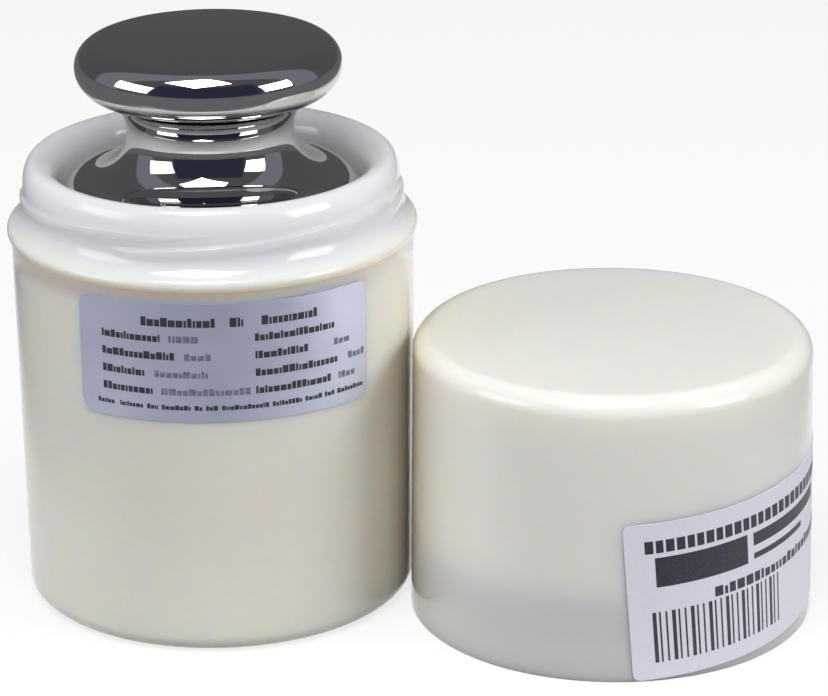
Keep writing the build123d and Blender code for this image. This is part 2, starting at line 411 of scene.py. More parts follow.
@dataclass(frozen=True)
class PolishedSteel(Finish):
    """Stainless steel, turned and then buffed to a mirror.

    It shows the room almost sharp: the edges of a reflection waver a little from hand buffing,
    rings from the last turning cut survive as the faintest lines, and handling leaves a dull haze.
    """

    tint: str = "#CBCAC9"
    wave_period: float = 5.0
    wave_height: float = 0.0025
    ring_period: float = 0.22
    ring_height: float = 0.00012
    haze_period: float = 9.0
    haze_spread: Pair = (0.45, 0.75)
    roughness: Pair = (0.02, 0.055)

    def paint(self, tree: Tree, shader: Node, place: Socket) -> None:
        """Sets up the steel: base colour, relief and haze.

        Args:
            tree: the material's node tree.
            shader: its principled shader.
            place: the surface point in metres, in the model's frame.
        """
        shader.inputs["Base Color"].default_value = linear(self.tint)
        shader.inputs["Metallic"].default_value = 1.0
        flat = add_node(tree, "ShaderNodeVectorMath", {0: place, 1: (1, 1, 0)}, operation="MULTIPLY")
        radius = add_node(tree, "ShaderNodeVectorMath", {0: flat.outputs[0]}, operation="LENGTH")
        height = add_node(tree, "ShaderNodeSeparateXYZ", {0: place})
        across = add_node(
            tree, "ShaderNodeCombineXYZ", {"X": radius.outputs["Value"], "Y": height.outputs["Z"]}
        )
        self.roughen(
            tree,
            shader,
            (across.outputs[0], self.ring_period, 3.0, self.ring_height),
            (place, self.wave_period, 1.0, self.wave_height),
        )
        haze = add_node(
            tree,
            "ShaderNodeTexNoise",
            {"Vector": place, "Scale": scale_for(self.haze_period), "Detail": 5.0, "Roughness": 0.62},
        )
        dull = add_node(
            tree,
            "ShaderNodeMapRange",
            {
                "Value": haze.outputs["Fac"],
                "From Min": self.haze_spread[0],
                "From Max": self.haze_spread[1],
                "To Min": self.roughness[0],
                "To Max": self.roughness[1],
            },
        )
        tree.links.new(dull.outputs["Result"], shader.inputs["Roughness"])


@dataclass(frozen=True)
class MouldedPlastic(Finish):
    """ABS, injection moulded in a fine-polished mould and left as it came out.

    Light goes some millimetres into it, so its shadows are warm and its edges glow. The gloss is
    satin: a lamp shows as a soft streak. Its colour is mixed by height from a low tone to the thin
    colour on top. On the jar the neck and rim are a paler plastic with painted light on them; on
    the lid the top is painted paler as painted light and the skirt greyer as painted shade.
    Light that bounces off the plastic takes a warmer tint, a painted warm glow in the shade
    between the jar and the lid.
    """

    # Colour mixed by height: the low tone below, the thin colour on top as painted light (on the jar over a
    # paler neck plastic); the lid's low tone is painted shade.
    low_tone: str = "#F1EEE3"
    # painted warm glow: only bounced light takes this tint, so shade between jar and lid turns warm brown
    painted_warm_bounce: str = "#E0C98C"
    thin: str = "#F6F3FF"
    painted_light_from: float = 62.0
    painted_light_to: float = 69.0
    mottle_period: float = 30.0
    mottle_depth: float = 0.05
    grain_period: float = 0.45
    grain_height: float = 0.0012
    sink_period: float = 14.0
    sink_height: float = 0.006
    roughness: Pair = (0.06, 0.1)
    ior: float = 1.5
    specular_level: float = 0.4
    scatter: float = 1.0
    scatter_depth: float = 5.0
    low_scatter_depth: tuple[float, float, float] = (1.0, 0.55, 0.22)
    top_scatter_depth: tuple[float, float, float] = (2.8, 2.65, 2.5)

    def paint(self, tree: Tree, shader: Node, place: Socket) -> None:
        """Sets up the plastic: tone with painted light, depth of scatter, gloss and relief.

        Args:
            tree: the material's node tree.
            shader: its principled shader.
            place: the surface point in metres, in the model's frame.
        """
        shader.inputs["IOR"].default_value = self.ior
        shader.inputs["Specular IOR Level"].default_value = self.specular_level
        shader.inputs["Subsurface Weight"].default_value = self.scatter
        shader.inputs["Subsurface Scale"].default_value = self.scatter_depth * MM
        # The share runs from 0 low down to 1 on top and sets how much painted light the colour takes.
        level = add_node(tree, "ShaderNodeSeparateXYZ", {0: place})
        share = add_node(
            tree,
            "ShaderNodeMapRange",
            {
                "Value": level.outputs["Z"],
                "From Min": self.painted_light_from * MM,
                "From Max": self.painted_light_to * MM,
            },
            interpolation_type="SMOOTHSTEP",
        )
        # Painted warm glow: light bouncing off the plastic takes the warmer tint, so shade between parts
        # reads brown.
        path = add_node(tree, "ShaderNodeLightPath")
        body = add_node(
            tree,
            "ShaderNodeMix",
            {0: path.outputs["Is Diffuse Ray"], 6: linear(self.low_tone), 7: linear(self.painted_warm_bounce)},
            data_type="RGBA",
        )
        # Painted light: the colour pales to the thin colour towards the top; on the lid the darker skirt is
        # painted shade.
        wall = add_node(
            tree,
            "ShaderNodeMix",
            {0: share.outputs["Result"], 6: body.outputs[2], 7: linear(self.thin)},
            data_type="RGBA",
        )
        depth = add_node(
            tree,
            "ShaderNodeMix",
            {0: share.outputs["Result"], 4: self.low_scatter_depth, 5: self.top_scatter_depth},
            data_type="VECTOR",
        )
        tree.links.new(depth.outputs[1], shader.inputs["Subsurface Radius"])
        mottle = add_node(
            tree,
            "ShaderNodeTexNoise",
            {"Vector": place, "Scale": scale_for(self.mottle_period), "Detail": 2.0},
        )
        self.shade(tree, shader, wall.outputs[2], mottle.outputs["Fac"], (0.0, 1.0), 1 - self.mottle_depth)
        gloss = add_node(
            tree,
            "ShaderNodeMapRange",
            {"Value": mottle.outputs["Fac"], "To Min": self.roughness[0], "To Max": self.roughness[1]},
        )
        tree.links.new(gloss.outputs["Result"], shader.inputs["Roughness"])
        self.roughen(
            tree,
            shader,
            (place, self.grain_period, 3.0, self.grain_height),
            (place, self.sink_period, 1.0, self.sink_height),
        )


@dataclass(frozen=True)
class CutFoam(Finish):
    """Closed-cell polyethylene foam, cut from sheet.

    Its skin is matt, and the cut cells show as a fine net of pits, each painted darker
    towards its middle as painted shade.
    """

    tint: str = "#DCDBD4"
    cell: float = 0.7
    cell_spread: Pair = (0.0, 0.7)
    painted_pit_shade: float = 0.82
    pit_depth: float = 0.12
    roughness: float = 0.85
    ior: float = 1.45

    def paint(self, tree: Tree, shader: Node, place: Socket) -> None:
        """Sets up the foam: tone, pits and painted shade in the pits.

        Args:
            tree: the material's node tree.
            shader: its principled shader.
            place: the surface point in metres, in the model's frame.
        """
        shader.inputs["Roughness"].default_value = self.roughness
        shader.inputs["IOR"].default_value = self.ior
        cells = add_node(
            tree, "ShaderNodeTexVoronoi", {"Vector": place, "Scale": scale_for(self.cell)}
        ).outputs["Distance"]
        # Painted shade: the colour darkens towards the middle of each cell's pit.
        self.shade(tree, shader, linear(self.tint), cells, self.cell_spread, self.painted_pit_shade)
        bump = add_node(
            tree, "ShaderNodeBump", {"Height": cells, "Distance": self.pit_depth * MM, "Strength": 1.0}
        )
        tree.links.new(bump.outputs["Normal"], shader.inputs["Normal"])


@dataclass(frozen=True)
class MetallisedFilm(Finish):
    """Polyester film with a vapour-deposited aluminium back and a satin varnish.

    It mirrors lamps only as a broad sheen, cool and bluish, with a fine grain from the varnish.
    """

    tint: str = "#E2E6FC"
    metallic: float = 0.8
    roughness: Pair = (0.44, 0.54)
    grain_period: float = 0.35
    grain_height: float = 0.004
    cloud_period: float = 11.0
    cloud_spread: Pair = (0.3, 0.7)
    cloud_shade: float = 0.95

    def paint(self, tree: Tree, shader: Node, place: Socket) -> None:
        """Sets up the film: tone, sheen and grain.

        Args:
            tree: the material's node tree.
            shader: its principled shader.
            place: the surface point in metres, in the model's frame.
        """
        shader.inputs["Metallic"].default_value = self.metallic
        clouds = add_node(
            tree,
            "ShaderNodeTexNoise",
            {"Vector": place, "Scale": scale_for(self.cloud_period), "Detail": 3.0},
        ).outputs["Fac"]
        self.shade(tree, shader, linear(self.tint), clouds, self.cloud_spread, self.cloud_shade)
        gloss = add_node(
            tree,
            "ShaderNodeMapRange",
            {"Value": clouds, "To Min": self.roughness[0], "To Max": self.roughness[1]},
        )
        tree.links.new(gloss.outputs["Result"], shader.inputs["Roughness"])
        self.roughen(tree, shader, (place, self.grain_period, 2.0, self.grain_height))


@dataclass(frozen=True)
class CoatedPaper(Finish):
    """Clay-coated label paper, calendered.

    Cool white with a weak even sheen; fibres under the coat make it faintly uneven.
    """

    tint: str = "#EFEEF8"
    roughness: float = 0.5
    ior: float = 1.5
    fibre_period: float = 0.9
    fibre_spread: Pair = (0.3, 0.7)
    fibre_shade: float = 0.95
    fibre_height: float = 0.004

    def paint(self, tree: Tree, shader: Node, place: Socket) -> None:
        """Sets up the paper: tone and fibres.

        Args:
            tree: the material's node tree.
            shader: its principled shader.
            place: the surface point in metres, in the model's frame.
        """
        shader.inputs["Roughness"].default_value = self.roughness
        shader.inputs["IOR"].default_value = self.ior
        fibres = add_node(
            tree,
            "ShaderNodeTexNoise",
            {"Vector": place, "Scale": scale_for(self.fibre_period), "Detail": 6.0, "Roughness": 0.65},
        ).outputs["Fac"]
        self.shade(tree, shader, linear(self.tint), fibres, self.fibre_spread, self.fibre_shade)
        bump = add_node(
            tree, "ShaderNodeBump", {"Height": fibres, "Distance": self.fibre_height * MM, "Strength": 1.0}
        )
        tree.links.new(bump.outputs["Normal"], shader.inputs["Normal"])


@dataclass(frozen=True)
class PrintedInk(Finish):
    """Thermal-transfer ink, a thin waxy film pressed onto the label.

    Nearly black with a soft gloss; it covers unevenly, so its tone is a little broken.
    """

    tint: str = "#34353F"
    faded: str = "#3F404C"
    roughness: float = 0.45
    break_period: float = 0.5
    break_spread: Pair = (0.4, 0.65)

    def paint(self, tree: Tree, shader: Node, place: Socket) -> None:
        """Sets up the ink: a tone broken between two colours.

        Args:
            tree: the material's node tree.
            shader: its principled shader.
            place: the surface point in metres, in the model's frame.
        """
        shader.inputs["Roughness"].default_value = self.roughness
        breaks = add_node(
            tree,
            "ShaderNodeTexNoise",
            {"Vector": place, "Scale": scale_for(self.break_period), "Detail": 4.0},
        )
        share = add_node(
            tree,
            "ShaderNodeMapRange",
            {
                "Value": breaks.outputs["Fac"],
                "From Min": self.break_spread[0],
                "From Max": self.break_spread[1],
            },
        )
        colour = add_node(
            tree,
            "ShaderNodeMix",
            {0: share.outputs["Result"], 6: linear(self.tint), 7: linear(self.faded)},
            data_type="RGBA",
        )
        tree.links.new(colour.outputs[2], shader.inputs["Base Color"])


STEEL = PolishedSteel("stainless_steel_mirror_polished")
# The jar: painted light on its paler neck and rim, and a painted warm glow in bounced light.
JAR_PLASTIC = MouldedPlastic("abs_ivory_moulded_jar")
# The lid: skirt painted greyer as painted shade, top painted paler as painted light; its bounce tint is its
# low tone.
LID_PLASTIC = MouldedPlastic(
    "abs_ivory_moulded_lid",
    low_tone="#E3E1DB",
    thin="#F5F4EC",
    painted_warm_bounce="#E3E1DB",
    painted_light_from=4.0,
    painted_light_to=22.0,
    low_scatter_depth=(1.0, 0.95, 0.9),
    top_scatter_depth=(1.0, 0.8, 0.55),
)
FOAM = CutFoam("polyethylene_foam_cut")
FILM = MetallisedFilm("polyester_film_metallised")
PAPER = CoatedPaper("label_paper_coated")
PRINT = PrintedInk("ink_thermal_transfer")
TYPED_PRINT = PrintedInk("ink_dot_printed", tint="#6A6C80", faded="#8C8EA4")


# ----------------------------------------------------------------- the sub-assemblies
class TurnedPiece(ABC):
    """A piece that is turned about its own axis and takes the place of one CAD node."""

    name: str
    node: str
    segments: int
    finish: Finish
    slot: Slot
    reshaped = False

    def __post_init__(self) -> None:
        """Reads the piece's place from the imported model."""
        self.place = Envelope.of_node(self.node)

    @abstractmethod
    def outline(self) -> Outline:
        """The outline, from the axis round to the axis again."""

    def reshape(
        self, radii: np.ndarray, heights: np.ndarray, bearings: np.ndarray
    ) -> tuple[np.ndarray, np.ndarray]:
        """Gives the turned points a shape that isn't the same all round.

        Args:
            radii: radii of the turned points.
            heights: their heights.
            bearings: their bearings in degrees.

        Returns:
            The new radii and heights.
        """
        return radii, heights

    def build(self) -> bpy.types.Object:
        """Builds and dresses the piece.

        Returns:
            The new object.
        """
        axis = (self.place.x, self.place.y)
        shape = self.reshape if self.reshaped else None
        piece = turned_mesh(self.name, self.outline(), axis, self.segments, shape)
        place_piece(piece, [self.finish], [self.node])
        return piece


@dataclass
class KnobWeight(TurnedPiece):
    """The weight: a plain cylinder with a waisted neck and a domed knob, turned in one piece."""

    name: str = "knob_weight_turned"
    node: str = "knob_weight"
    segments: int = 280
    finish: Finish = STEEL
    slot: Slot = Slot.STEEL
    neck_radius: float = 13.5
    knob_radius: float = 21.5
    body_edge: float = 1.0
    shoulder_edge: float = 3.0
    shoulder_fillet: float = 7.2
    knob_fillet: float = 6.5
    knob_rise: float = 18.0
    lower_round: float = 4.65
    upper_round: float = 4.1
    dome_slope: float = 4.0
    arc_step: float = 1.5
    dome_step: float = 0.25

    def outline(self) -> Outline:
        """The weight's outline, from the middle of the foot to the middle of the dome.

        Returns:
            The outline with its normals.
        """
        place = self.place
        slope = math.radians(self.dome_slope)
        dome_edge = self.knob_radius - self.upper_round + self.upper_round * math.sin(slope)
        dome_radius = dome_edge / math.sin(slope)
        dome_rise = dome_radius * (1 - math.cos(slope))
        widest = place.high - dome_rise - self.upper_round * math.cos(slope)
        shoulder = widest - self.knob_rise
        rim = place.radius - self.body_edge
        low_centre = (self.knob_radius - self.lower_round, widest)
        reach = self.knob_fillet + self.lower_round
        inset = self.neck_radius + self.knob_fillet - low_centre[0]
        under_centre = (self.neck_radius + self.knob_fillet, widest - math.sqrt(reach ** 2 - inset ** 2))
        touch = math.degrees(math.acos(inset / reach))
        foot_edge = (self.body_edge, self.body_edge)
        upper_edge = (self.shoulder_edge, self.shoulder_edge)
        brow = place.radius - self.shoulder_edge
        fillet_end = self.neck_radius + self.shoulder_fillet
        neck_foot = shoulder + self.shoulder_fillet
        fine = self.arc_step
        outline = Outline()
        outline.run((0, place.low), (rim, place.low), step=6.0)
        outline.arc((rim, place.low + self.body_edge), foot_edge, (-90, 0))
        outline.run(
            (place.radius, place.low + self.body_edge),
            (place.radius, shoulder - self.shoulder_edge),
            step=8.0,
        )
        outline.arc((brow, shoulder - self.shoulder_edge), upper_edge, (0, 90), fine)
        outline.run((brow, shoulder), (fillet_end, shoulder), step=1.0)
        outline.arc(
            (fillet_end, neck_foot), (self.shoulder_fillet, self.shoulder_fillet), (270, 180), fine
        )
        outline.run((self.neck_radius, neck_foot), (self.neck_radius, under_centre[1]), step=1.0)
        outline.arc(under_centre, (self.knob_fillet, self.knob_fillet), (180, 180 - touch), fine)
        outline.arc(low_centre, (self.lower_round, self.lower_round), (-touch, 0), fine)
        outline.arc(
            (self.knob_radius - self.upper_round, widest),
            (self.upper_round, self.upper_round),
            (0, 90 - self.dome_slope),
            fine,
        )
        outline.arc(
            (0, place.high - dome_radius),
            (dome_radius, dome_radius),
            (90 - self.dome_slope, 90),
            self.dome_step,
        )
        return outline


@dataclass(frozen=True)
class ScrewThread:
    """A four-start right-hand thread, moulded, whose ridges fade out at both ends."""

    height: float = 0.55
    foot: float = 2.0
    crest: float = 1.1
    lead: float = 12.8
    starts: int = 4
    sweep: float = 125.0
    last_bearing: float = 3.0
    last_height: float = 70.8
    fade: float = 14.0

    def rise(self, heights: np.ndarray, bearings: np.ndarray) -> np.ndarray:
        """How far the ridges stand above the root.

        Args:
            heights: heights of the surface points.
            bearings: their bearings in degrees.

        Returns:
            The rise of each point.
        """
        total = np.zeros_like(heights)
        for start in range(self.starts):
            back = (self.last_bearing + start * 360 / self.starts - bearings) % 360
            middle = self.last_height - back * self.lead / 360
            flank = (self.foot / 2 - np.abs(heights - middle)) / ((self.foot - self.crest) / 2)
            ends = smooth_step(back / self.fade) * smooth_step((self.sweep - back) / self.fade)
            total = np.maximum(total, self.height * smooth_step(flank) * ends)
        return total


@dataclass
class ScrewJar(TurnedPiece):
    """The jar: thick wall, collar bead, threaded neck and a rolled rim, moulded in one piece."""

    name: str = "jar_moulding"
    node: str = "jar"
    segments: int = 400
    finish: Finish = JAR_PLASTIC
    slot: Slot = Slot.PLASTIC
    bore_radius: float = 25.2
    floor: float = 6.0
    wall_top: float = 7.45
    draft: float = 0.6
    foot_round: float = 2.8
    neck_wall: float = 5.3
    neck_height: float = 11.5
    collar_proud: float = 0.65
    collar_round: float = 1.3
    collar_cove: float = 4.6
    rim_inner: float = 3.4
    roll_height: float = 4.0
    corner: float = 1.0
    thread_step: float = 0.12
    thread: ScrewThread = field(default_factory=ScrewThread)
    reshaped = True

    def __post_init__(self) -> None:
        """Works out the levels and radii that several pieces share."""
        super().__post_init__()
        self.wall_radius_top = self.bore_radius + self.wall_top
        self.foot_radius = self.wall_radius_top - self.draft
        self.root_radius = self.bore_radius + self.neck_wall
        self.collar_height = self.place.high - self.neck_height
        turn = math.acos(1 - self.collar_proud / self.collar_round)
        self.bead_angle = math.degrees(turn)
        self.bead_foot = self.collar_height - self.collar_round * math.sin(turn)

    def wall_radius(self, height: float) -> float:
        """Radius of the tapered outside wall at a height."""
        share = (height - self.foot_round) / (self.bead_foot - self.foot_round)
        return self.foot_radius + self.draft * share

    def reshape(
        self, radii: np.ndarray, heights: np.ndarray, bearings: np.ndarray
    ) -> tuple[np.ndarray, np.ndarray]:
        """Raises the thread on the outside of the neck.

        Args:
            radii: radii of the turned points.
            heights: their heights.
            bearings: their bearings in degrees.

        Returns:
            The new radii and the same heights.
        """
        on_neck = (radii > self.root_radius - ON_WALL) & (heights > self.collar_height)
        ridge = self.root_radius + self.thread.rise(heights, bearings)
        return np.where(on_neck, np.maximum(radii, ridge), radii), heights

    def outline(self) -> Outline:
        """The jar's outline, from the middle of its underside to the middle of its floor.

        Returns:
            The outline with its normals.
        """
        bead = (self.wall_radius_top + self.collar_proud - self.collar_round, self.collar_height)
        cove_radius = self.root_radius + self.collar_cove
        reach = self.collar_cove + self.collar_round
        cove_height = self.collar_height + math.sqrt(reach ** 2 - (cove_radius - bead[0]) ** 2)
        touch = math.degrees(math.acos((cove_radius - bead[0]) / reach))
        crest = self.bore_radius + self.rim_inner
        roll_foot = self.place.high - self.roll_height
        foot_inner = self.foot_radius - self.foot_round
        floor_edge = self.bore_radius - self.corner
        floor_round = self.floor + self.corner
        outline = Outline()
        outline.run((0, 0), (foot_inner, 0), step=6.0)
        outline.arc((foot_inner, self.foot_round), (self.foot_round, self.foot_round), (-90, 0), 6.0)
        outline.run((self.foot_radius, self.foot_round), (self.wall_radius_top, self.bead_foot), step=4.0)
        outline.arc(bead, (self.collar_round, self.collar_round), (-self.bead_angle, touch), 8.0)
        outline.arc(
            (cove_radius, cove_height), (self.collar_cove, self.collar_cove), (180 + touch, 180), 4.0
        )
        outline.run((self.root_radius, cove_height), (self.root_radius, roll_foot), step=self.thread_step)
        outline.arc((crest, roll_foot), (self.root_radius - crest, self.roll_height), (0, 90))
        outline.arc((crest, roll_foot), (self.rim_inner, self.roll_height), (90, 180), 4.0)
        outline.run((self.bore_radius, roll_foot), (self.bore_radius, floor_round), step=4.0)
        outline.arc((floor_edge, floor_round), (self.corner, self.corner), (0, -90), 12.0)
        outline.run((floor_edge, self.floor), (0, self.floor), step=6.0)
        return outline


@dataclass
class ScrewLid(TurnedPiece):
    """The lid, mouth down: threaded skirt, cavity, flat top with a rounded edge."""

    name: str = "lid_moulding"
    node: str = "screw_lid"
    segments: int = 400
    finish: Finish = LID_PLASTIC
    slot: Slot = Slot.PLASTIC
    cavity_radius: float = 25.2
    skirt_radius: float = 31.4
    skirt_depth: float = 13.3
    draft: float = 0.56
    edge_round: float = 3.2
    top: float = 5.5
    corner: float = 1.0
    lip: float = 0.4
    thread_low: float = 1.0
    thread_step: float = 0.2
    thread: ScrewThread = field(default_factory=lambda: ScrewThread(sweep=80.0, last_height=5.85))
    reshaped = True

    def __post_init__(self) -> None:
        """Works out the lid's place and wall."""
        super().__post_init__()
        self.mouth_radius = self.place.radius
        self.crown_radius = self.mouth_radius - self.draft

    def wall_radius(self, height: float) -> float:
        """Radius of the tapered outside wall at a height."""
        return self.mouth_radius - self.draft * height / (self.place.high - self.edge_round)

    def reshape(
        self, radii: np.ndarray, heights: np.ndarray, bearings: np.ndarray
    ) -> tuple[np.ndarray, np.ndarray]:
        """Raises the thread inward inside the skirt.

        Args:
            radii: radii of the turned points.
            heights: their heights.
            bearings: their bearings in degrees.

        Returns:
            The new radii and the same heights.
        """
        on_skirt = np.abs(radii - self.skirt_radius) < ON_WALL
        inside = on_skirt & (heights < self.skirt_depth - self.thread_low)
        return np.where(inside, radii - self.thread.rise(heights, bearings), radii), heights

    def outline(self) -> Outline:
        """The lid's outline, from the middle of its ceiling to the middle of its top's outside.

        Returns:
            The outline with its normals.
        """
        high = self.place.high
        edge = high - self.edge_round
        edge_inner = self.crown_radius - self.edge_round
        ceiling = high - self.top
        cavity, skirt, depth = self.cavity_radius, self.skirt_radius, self.skirt_depth
        corner_centre = (cavity - self.corner, ceiling - self.corner)
        lip = (self.lip, self.lip)
        lip_step = 15.0
        outline = Outline()
        outline.run((0, ceiling), (corner_centre[0], ceiling), step=6.0)
        outline.arc(corner_centre, (self.corner, self.corner), (90, 0), 12.0)
        outline.run((cavity, corner_centre[1]), (cavity, depth + self.lip), step=4.0)
        outline.arc((cavity + self.lip, depth + self.lip), lip, (180, 270), lip_step)
        outline.run((cavity + self.lip, depth), (skirt, depth), step=3.0)
        outline.run((skirt, depth - ON_WALL), (skirt, self.thread_low), step=self.thread_step)
        outline.run((skirt, self.thread_low), (skirt, self.lip), step=0.5)
        outline.arc((skirt + self.lip, self.lip), lip, (180, 270), lip_step)
        outline.arc((self.mouth_radius - self.lip, self.lip), lip, (270, 360), lip_step)
        outline.run((self.mouth_radius, self.lip), (self.crown_radius, edge), step=3.0)
        outline.arc((edge_inner, edge), (self.edge_round, self.edge_round), (0, 90), 2.5)
        outline.run((edge_inner, high), (0, high), step=1.5)
        return outline


@dataclass
class FoamPad(TurnedPiece):
    """A round foam pad, cut from sheet, a little uneven at its cut edge."""

    node: str
    name: str
    segments: int = 160
    finish: Finish = FOAM
    slot: Slot = Slot.FOAM
    corner: float = 1.0
    unevenness: float = 0.12
    uneven_reach: float = 2.0
    seed: int = 5
    reshaped = True

    def build(self) -> bpy.types.Object:
        """Returns:
            The pad's object.
        """
        piece = super().build()
        return piece

    def outline(self) -> Outline:
        """The pad's outline, from the middle of its underside to the middle of its top.

        Returns:
            The outline with its normals.
        """
        place = self.place
        rim = place.radius - self.corner
        lower, upper = place.low + self.corner, place.high - self.corner
        round_edge = (self.corner, self.corner)
        outline = Outline()
        outline.run((0, place.low), (rim, place.low), step=1.5)
        outline.arc((rim, lower), round_edge, (-90, 0), 10.0)
        outline.run((place.radius, lower), (place.radius, upper), step=0.6)
        outline.arc((rim, upper), round_edge, (0, 90), 10.0)
        outline.run((rim, place.high), (0, place.high), step=1.5)
        return outline

    def reshape(
        self, radii: np.ndarray, heights: np.ndarray, bearings: np.ndarray
    ) -> tuple[np.ndarray, np.ndarray]:
        """Draws the cut edge in by a few hundredths, unevenly.

        Args:
            radii: radii of the turned points.
            heights: their heights.
            bearings: their bearings in degrees.

        Returns:
            The new radii and the same heights.
        """
        chance = np.random.default_rng(self.seed)
        pull = chance.random(radii.shape) * self.unevenness
        inward = radii.max() - radii
        edge = smooth_step((self.uneven_reach - inward) / self.uneven_reach)
        return radii - pull * edge, heights


class Tone(Enum):
    """Tones of a label's print, by material number."""

    BOLD = 0
    TYPED = 1


@dataclass(frozen=True)
class Mark:
    """One plain printed block: its lower left corner, size and tone, on the flat label in mm."""

    left: float
    foot: float
    width: float
    height: float
    tone: Tone = Tone.BOLD


@dataclass(frozen=True)
class Line:
    """A line of plain blocks in place of words: where it runs and how its blocks are sized."""

    left: float
    right: float
    foot: float
    height: float
    pitch: float
    tone: Tone = Tone.BOLD
    low_share: float = 0.76
    widths: tuple[float, ...] = (0.42, 0.74, 0.8, 0.86, 1.12)
    gap: float = 0.17
    tall_chance: float = 0.3
    shortest: float = 0.3

    def marks(self, chance: random.Random) -> list[Mark]:
        """Fills the line with blocks of chance widths and heights.

        Args:
            chance: the seeded source of both.

        Returns:
            The blocks from left to right.
        """
        made = []
        place = self.left
        while place < self.right - self.pitch * self.shortest:
            width = min(self.pitch * chance.choice(self.widths), self.right - place)
            tall = not made or chance.random() < self.tall_chance
            height = self.height * (1 if tall else self.low_share)
            made.append(Mark(place, self.foot, width, height, self.tone))
            place += width + self.pitch * self.gap
        return made


@dataclass
class WrappedLabel:
    """A thin label wrapped round a tapered wall."""

    name: str
    node: str
    axis: Pair
    wall: Callable[[float], float]
    bearing: float
    level: float
    width: float
    height: float
    finish: Finish
    slot: Slot
    tilt: float = 0.0
    corner: float = 2.0
    thickness: float = 0.12
    ink: float = 0.02
    lift_at: Pair | None = None
    lift: float = 0.22
    lift_spread: float = 1.3
    columns: int = 121
    rows: int = 30
    corner_rows: int = 9
    mark_column: float = 0.8
    sharp_angle: float = 40.0

    def build(self, marks: list[Mark]) -> None:
        """Builds and dresses the label and its print.

        Args:
            marks: the printed blocks.
        """
        label = self.slab_object(self.name, [self.sheet_rows()], 0.0, self.thickness)
        place_piece(label, [self.finish], [self.node])
        patches = [self.mark_rows(mark) for mark in marks]
        print_face = self.thickness + self.ink
        print_piece = self.slab_object(f"{self.name}_print", patches, self.thickness, print_face)
        tones = []
        for mark, patch in zip(marks, patches):
            tones += [mark.tone.value] * slab_face_count(patch.shape[:2])
        print_piece.data.polygons.foreach_set("material_index", tones)
        place_piece(print_piece, [PRINT, TYPED_PRINT])

    def sheet_rows(self) -> np.ndarray:
        """Flat points of the sheet, following its rounded corners.

        Returns:
            The points across and up, row by row.
        """
        half = self.height / 2
        turns = np.radians(np.linspace(0, 90, self.corner_rows))
        near = half - self.corner + self.corner * np.sin(turns)
        inner = np.linspace(-half + self.corner, half - self.corner, self.rows)
        levels = np.concatenate((-near[::-1], inner[1:-1], near))
        over = np.clip(np.abs(levels) - (half - self.corner), 0, self.corner)
        inset = self.corner - np.sqrt(np.maximum(self.corner ** 2 - over ** 2, 0))
        shares = np.linspace(-1, 1, self.columns)
        across = shares[None, :] * (self.width / 2 - inset)[:, None]
        return np.stack((across, np.repeat(levels[:, None], len(shares), axis=1)), -1)

    def mark_rows(self, mark: Mark) -> np.ndarray:
        """Flat points of one printed block, with enough columns to follow the wall.

        Args:
            mark: the block.

        Returns:
            The points across and up, row by row.
        """
        columns = max(2, math.ceil(mark.width / self.mark_column) + 1)
        across = np.linspace(mark.left, mark.left + mark.width, columns)
        levels = np.array((mark.foot, mark.foot + mark.height))
        return np.stack(np.meshgrid(across, levels), -1)

    def wrap(self, flat: np.ndarray, off_wall: float) -> np.ndarray:
        """Wraps flat points round the wall.

        Args:
            flat: points across and up the label, from its middle.
            off_wall: distance outside the wall.

        Returns:
            The points in metres.
        """
        lean = math.radians(self.tilt)
        across = flat[..., 0] * math.cos(lean) - flat[..., 1] * math.sin(lean)
        level = self.level + flat[..., 0] * math.sin(lean) + flat[..., 1] * math.cos(lean)
        wall = np.vectorize(self.wall)(level)
        turn = math.radians(self.bearing) + across / wall
        radius = wall + off_wall
        if self.lift_at:
            away = np.hypot((flat[..., 0] - self.lift_at[0]) / 2, flat[..., 1] - self.lift_at[1])
            radius = radius + self.lift * np.exp(-((away / self.lift_spread) ** 2))
        east, north = self.axis[0] + radius * np.sin(turn), self.axis[1] - radius * np.cos(turn)
        return np.stack((east, north, level), -1) * MM

    def slab_object(
        self, name: str, patches: list[np.ndarray], inner: float, outer: float
    ) -> bpy.types.Object:
        """Makes closed slabs from flat patches.

        Args:
            name: the new object's name.
            patches: grids of flat points.
            inner: distance of the slabs' backs from the wall.
            outer: distance of their faces from the wall.

        Returns:
            The new object.
        """
        vertices: list[np.ndarray] = []
        faces: list[Face] = []
        first = 0
        for patch in patches:
            back = self.wrap(patch, inner).reshape(-1, 3)
            front = self.wrap(patch, outer).reshape(-1, 3)
            faces += slab_faces(patch.shape[:2], first)
            vertices += [back, front]
            first += 2 * len(back)
        piece = mesh_object(name, np.vstack(vertices), faces)
        piece.data.set_sharp_from_angle(angle=math.radians(self.sharp_angle))
        return piece


def slab_faces(shape: tuple[int, int], first: int) -> list[Face]:
    """Faces of a closed slab over a grid of points, its back first and then its front.

    Args:
        shape: rows and columns of the grid.
        first: number of the slab's first point.

    Returns:
        The faces, seen anticlockwise from outside.
    """
    rows, columns = shape
    back = first + np.arange(rows * columns).reshape(rows, columns)
    front = back + rows * columns
    faces = []
    for row in range(rows - 1):
        for column in range(columns - 1):
            beside, above = column + 1, row + 1
            faces.append(
                (front[row, column], front[row, beside], front[above, beside], front[above, column])
            )
            faces.append((back[row, column], back[above, column], back[above, beside], back[row, beside]))
    loop = [(0, column) for column in range(columns - 1)]
    loop += [(row, columns - 1) for row in range(rows - 1)]
    loop += [(rows - 1, column) for column in range(columns - 1, 0, -1)]
    loop += [(row, 0) for row in range(rows - 1, 0, -1)]
    for here, there in zip(loop, loop[1:] + loop[:1]):
        faces.append((back[here], back[there], front[there], front[here]))
    return [tuple(int(corner) for corner in face) for face in faces]


def slab_face_count(shape: tuple[int, int]) -> int:
    """Number of faces that slab_faces gives for a grid."""
    rows, columns = shape
    return 2 * (rows - 1) * (columns - 1) + 2 * (rows - 1) + 2 * (columns - 1)


